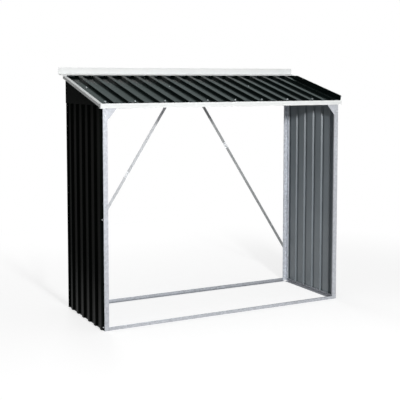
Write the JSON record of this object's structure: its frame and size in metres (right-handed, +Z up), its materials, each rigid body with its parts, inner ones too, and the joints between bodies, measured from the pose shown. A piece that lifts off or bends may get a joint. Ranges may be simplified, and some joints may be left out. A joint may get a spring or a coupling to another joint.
{
  "type": "log store",
  "caption": "Open-fronted steel log store: galvanised frame, dark ribbed side walls, ribbed lean-to roof with pale trims, and strap braces across the open back.",
  "frame": {"origin": "centre of the whole store's box, on the ground", "axes": "+X to the right along the open front, +Y from the open front to the back, +Z up"},
  "size_m": [1.848, 0.6953, 1.6203],
  "materials": {
    "sheet": "satin anthracite coil coating",
    "frame": "galvanised",
    "strap": "galvanised",
    "trim": "pale grey coating",
    "cap": "moulded white"
  },
  "bodies": {
    "root": {"left_wall_front_sheet": "sheet", "left_wall_rear_sheet": "sheet", "right_wall_front_sheet": "sheet", "right_wall_rear_sheet": "sheet", "left_gable": "sheet", "right_gable": "sheet", "roof_left_sheet": "sheet", "roof_middle_sheet": "sheet", "roof_right_sheet": "sheet", "front_left_post": "frame", "front_right_post": "frame", "back_left_post": "frame", "back_right_post": "frame", "front_sill": "frame", "back_sill": "frame", "left_sill": "frame", "right_sill": "frame", "front_top_rail": "frame", "back_top_rail": "frame", "left_wall_rail": "frame", "right_wall_rail": "frame", "roof_purlin": "frame", "front_left_gusset": "frame", "front_right_gusset": "frame", "left_brace_upper": "strap", "left_brace_lower": "strap", "left_brace_splice": "strap", "right_brace_upper": "strap", "right_brace_lower": "strap", "right_brace_splice": "strap", "front_fascia": "trim", "left_rake_trim": "trim", "right_rake_trim": "trim", "rear_trim": "trim", "front_left_corner_cap": "cap", "front_right_corner_cap": "cap"}
  },
  "joints": []
}
